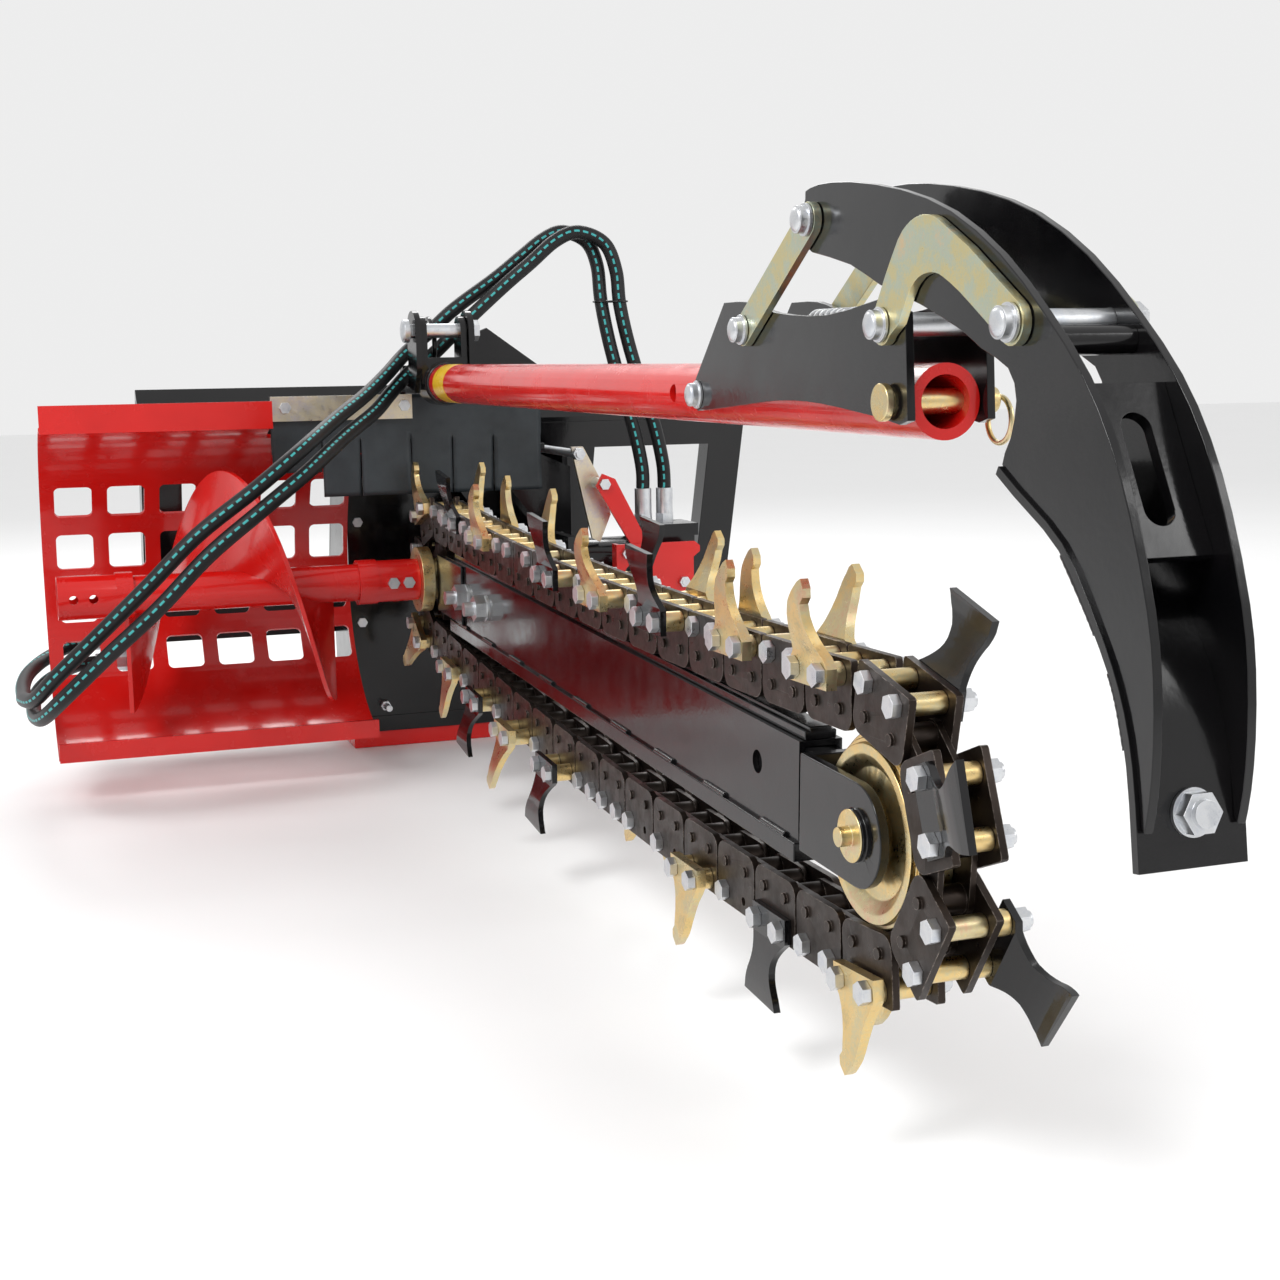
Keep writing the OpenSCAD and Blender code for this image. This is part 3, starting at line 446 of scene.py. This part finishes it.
# ---------------------------------------------------------------- rubber flap
def make_flap():
    """The slit rubber flap, its strips leaning a little in and out."""
    low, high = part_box("rubber_flap")
    slits = [-0.160, -0.104, -0.030, 0.032, 0.094]
    slit_top = 0.200
    step = 0.154
    xs = [low[0]] + slits + [high[0]]
    bm = bmesh.new()
    thick_y = (low[1] + high[1]) / 2
    for s, (x0, x1) in enumerate(zip(xs, xs[1:])):
        cols = 10
        rows = 22
        grid = []
        bottom = step if s == 0 else low[2]
        for r in range(rows + 1):
            z = high[2] + (bottom - high[2]) * r / rows
            line = []
            for c in range(cols + 1):
                x = x0 + (x1 - x0) * c / cols
                if z < slit_top:
                    edge = min(x - x0, x1 - x) / (x1 - x0)
                    gap = 0.0009 * (1 - min(1, edge * 6))
                    x += gap * (1 if c * 2 < cols else -1)
                down = max(0, (slit_top + 0.01 - z) / (slit_top + 0.01 - low[2]))
                lean_out = 0.0035 * math.sin(2.1 * s + 0.7) * down ** 1.5
                wave = 0.0010 * noise.noise(Vector((x * 14, z * 20, 3.1)))
                line.append(bm.verts.new((x, thick_y + lean_out + wave * (0.3 + down), z)))
            grid.append(line)
        for r in range(rows):
            for c in range(cols):
                bm.faces.new((grid[r][c], grid[r][c + 1], grid[r + 1][c + 1], grid[r + 1][c]))
    upper = [v for v in bm.verts if v.co.z >= slit_top]
    bmesh.ops.remove_doubles(bm, verts=upper, dist=1e-4)
    mesh = bpy.data.meshes.new("flap")
    bm.to_mesh(mesh)
    bm.free()
    obj = add_object("flap", mesh, RUBBER, "frame")
    mesh.shade_smooth()
    thick = obj.modifiers.new("thick", "SOLIDIFY")
    thick.thickness = 0.004
    thick.offset = 0
    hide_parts("rubber_flap")


make_flap()


# ---------------------------------------------------------------- refined CAD parts
DONE = {"hose_a", "hose_b", "auger_flight", "rubber_flap"}
SPECIAL = {
    "chain_outer_links": (CHAIN, 0.0007), "chain_inner_links": (CHAIN, 0.0006),
    "chain_bolts": (ZINC, 0.0007), "chain_spacers": (GOLD, 0.0006),
    "cup_teeth": (GOLD, 0.0012), "side_blades": (BLACK, 0.001),
    "shield": (RED, 0.0008), "crumber_tube": (RED, 0.0006),
    "crumber_links": (PALE_GOLD, 0.001), "crumber_straps": (PALE_GOLD, 0.001),
    "clamp_bar": (TINTED, 0.0008), "guard_stay": (TINTED, 0.001), "hub_flange": (GOLD, 0.001),
    "drive_shaft": (RIVET, 0.001), "arm_pins": (ZINC, 0.0015), "bracket_pins": (ZINC, 0.0015),
}
for node_name in sorted(frame["nodes"]):
    if node_name in DONE:
        continue
    mat, width = SPECIAL.get(node_name, (None, 0.0011))
    refined(node_name, mat, width)


# ---------------------------------------------------------------- small additions
def boom_point(x, y, z):
    """A point of the boom's own frame, in metres."""
    c, s = math.cos(BOOM_DROOP), math.sin(BOOM_DROOP)
    return Vector((x, HEAD_Y + y * c - z * s, y * s + z * c))


def bead(name, path, radius, body, mat=WELD):
    """A weld bead: a tube with small ripples."""
    mesh, _ = tube_mesh(name, path, radius, 10,
                        lambda i, n: radius * (0.86 + 0.14 * math.sin(i * 1.9) ** 2))
    add_object(name, mesh, mat, body)


def make_welds():
    """Welds along the boom's ledge, inside the shoe, round the socket and under the ears."""
    for side in (-1, 1):
        for k in range(9):
            y = -0.150 - 0.130 * k
            bead("boom_weld", [boom_point(side * 0.0198, y - 0.0016 * i, -0.0412)
                               for i in range(32)], 0.0026, "frame")
        curve = [Vector((side * 0.0342, y / 1000, z / 1000)) for y, z in
                 ((-2052, 198), (-2087, 158), (-2110, 124), (-2124, 85))]
        for a, b in ((0.1, 1.1), (1.7, 2.7)):
            steps = 24
            bead("shoe_weld", [spline_at(curve, a + (b - a) * i / steps)
                               for i in range(steps + 1)], 0.0022, "arm")
    ring = [Vector((0.0268 * math.cos(a), -0.4335, TUBE_Z + 0.0268 * math.sin(a)))
            for a in (2 * math.pi * i / 72 for i in range(73))]
    bead("socket_weld", ring, 0.0024, "crumber")
    for x in (-0.0345, 0.0425):
        for y in (-0.300, -0.260, -0.226):
            bead("ear_weld", [Vector((x, y + 0.0013 * i, 0.1868)) for i in range(14)],
                 0.0024, "frame")


def dome(name, centre, radius, height, mat, body):
    """A low dome, facing -X, on the head of a bolt."""
    bm = bmesh.new()
    rings, sides = 6, 32
    rows = []
    for i in range(rings):
        a = math.pi / 2 * i / rings
        rows.append([bm.verts.new((centre[0] - height * math.sin(a),
                                   centre[1] + radius * math.cos(a) * math.cos(b),
                                   centre[2] + radius * math.cos(a) * math.sin(b)))
                     for b in (2 * math.pi * k / sides for k in range(sides))])
    for a, b in zip(rows, rows[1:]):
        for k in range(sides):
            bm.faces.new((a[k], a[(k + 1) % sides], b[(k + 1) % sides], b[k]))
    top = bm.verts.new((centre[0] - height, centre[1], centre[2]))
    for k in range(sides):
        bm.faces.new((rows[-1][k], rows[-1][(k + 1) % sides], top))
    bm.faces.new(list(reversed(rows[0])))
    bmesh.ops.recalc_face_normals(bm, faces=bm.faces)
    mesh = bpy.data.meshes.new(name)
    bm.to_mesh(mesh)
    bm.free()
    add_object(name, mesh, mat, body)
    smooth_by_angle(mesh, 50)


for y, z, body in ((-1.597, 0.332, "crumber"), (-1.837, 0.331, "crumber"),
                   (-1.718, 0.409, "arm"), (-2.003, 0.329, "arm")):
    dome("bolt_dome", (-0.0494, y, z), 0.0088, 0.0028, ZINC, body)
dome("bolt_dome", (-0.0420, -1.481, TUBE_Z), 0.0088, 0.0028, ZINC, "crumber")
dome("pin_dome", (-0.0539, *PIVOT_YZ), 0.0148, 0.0030, ZINC, "frame")


def make_band():
    """A plain yellow band round the crumber tube, near its socket."""
    path = [Vector((0, -0.458 - 0.012 * i, TUBE_Z)) for i in range(6)]
    mesh, _ = tube_mesh("band", path, 0.02645, 64)
    add_object("yellow_band", mesh, YELLOW, "crumber")
    smooth_by_angle(mesh, 40)


def make_tie():
    """A thin strap round both hoses, above the motor."""
    a, b = Vector((0.254, -0.362, 0.393)), Vector((0.2782, -0.3770, 0.393))
    along = (b - a).normalized()
    across = Vector((-along.y, along.x, 0))
    path = []
    for centre, start in ((b, -90), (a, 90)):
        for i in range(13):
            t = math.radians(start + 180 * i / 12)
            path.append(centre + 0.0112 * (math.cos(t) * along + math.sin(t) * across))
    path.append(path[0])
    mesh, _ = tube_mesh("tie", path, 0.0014, 10)
    add_object("hose_tie", mesh, BLACK, "frame")


make_welds()
make_band()
make_tie()


# ---------------------------------------------------------------- crumber spring
def make_spring():
    """The small coil spring between the bracket's plates."""
    turns, y0, y1, r, z = 7.5, -1.652, -1.722, 0.011, 0.312
    count = int(turns * 24)
    path = [Vector((r * math.cos(2 * math.pi * turns * k / count),
                    y0 + (y1 - y0) * k / count,
                    z + 0.022 + r * math.sin(2 * math.pi * turns * k / count)))
            for k in range(count + 1)]
    mesh, _ = tube_mesh("spring", path, 0.0016, 10)
    add_object("crumber_spring", mesh, ZINC, "crumber")


make_spring()


# ---------------------------------------------------------------- stage and light
def make_stage():
    SCENE.view_settings.view_transform = "Standard"
    low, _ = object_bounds()
    bpy.ops.mesh.primitive_plane_add(size=30, location=(0, -1, low[2] - 0.0005))
    floor = bpy.context.object
    floor.name = "floor"
    m = Nodes("floor")
    m.set(Roughness=0.6)
    m.to(m.mix(m.noise(2.5, 3), (0.88, 0.88, 0.88), (0.90, 0.90, 0.90)), "Base Color")
    floor.data.materials.append(m.mat)
    world = bpy.data.worlds.new("world")
    SCENE.world = world
    world.use_nodes = True
    back = world.node_tree.nodes["Background"]
    back.inputs[0].default_value = (1, 1, 1, 1)
    back.inputs[1].default_value = 0.85

    def area(name, place, target, size, power):
        """A soft box at a place, in watts, aimed at a target."""
        data = bpy.data.lights.new(name, "AREA")
        data.shape = "RECTANGLE"
        data.size, data.size_y = size
        data.energy = power
        lamp = bpy.data.objects.new(name, data)
        SCENE.collection.objects.link(lamp)
        lamp.location = place
        lamp.rotation_euler = (Vector(target) - Vector(place)).to_track_quat("-Z", "Y").to_euler()

    area("key", (-2.6, -2.8, 3.2), (0, -0.9, 0), (1.4, 1.4), 95)
    area("fill", (2.6, -3.4, 1.8), (0, -0.9, 0), (2.0, 1.2), 30)
    area("rim", (0.4, 2.4, 2.6), (0, -0.8, 0.1), (3.0, 1.0), 60)


make_stage()
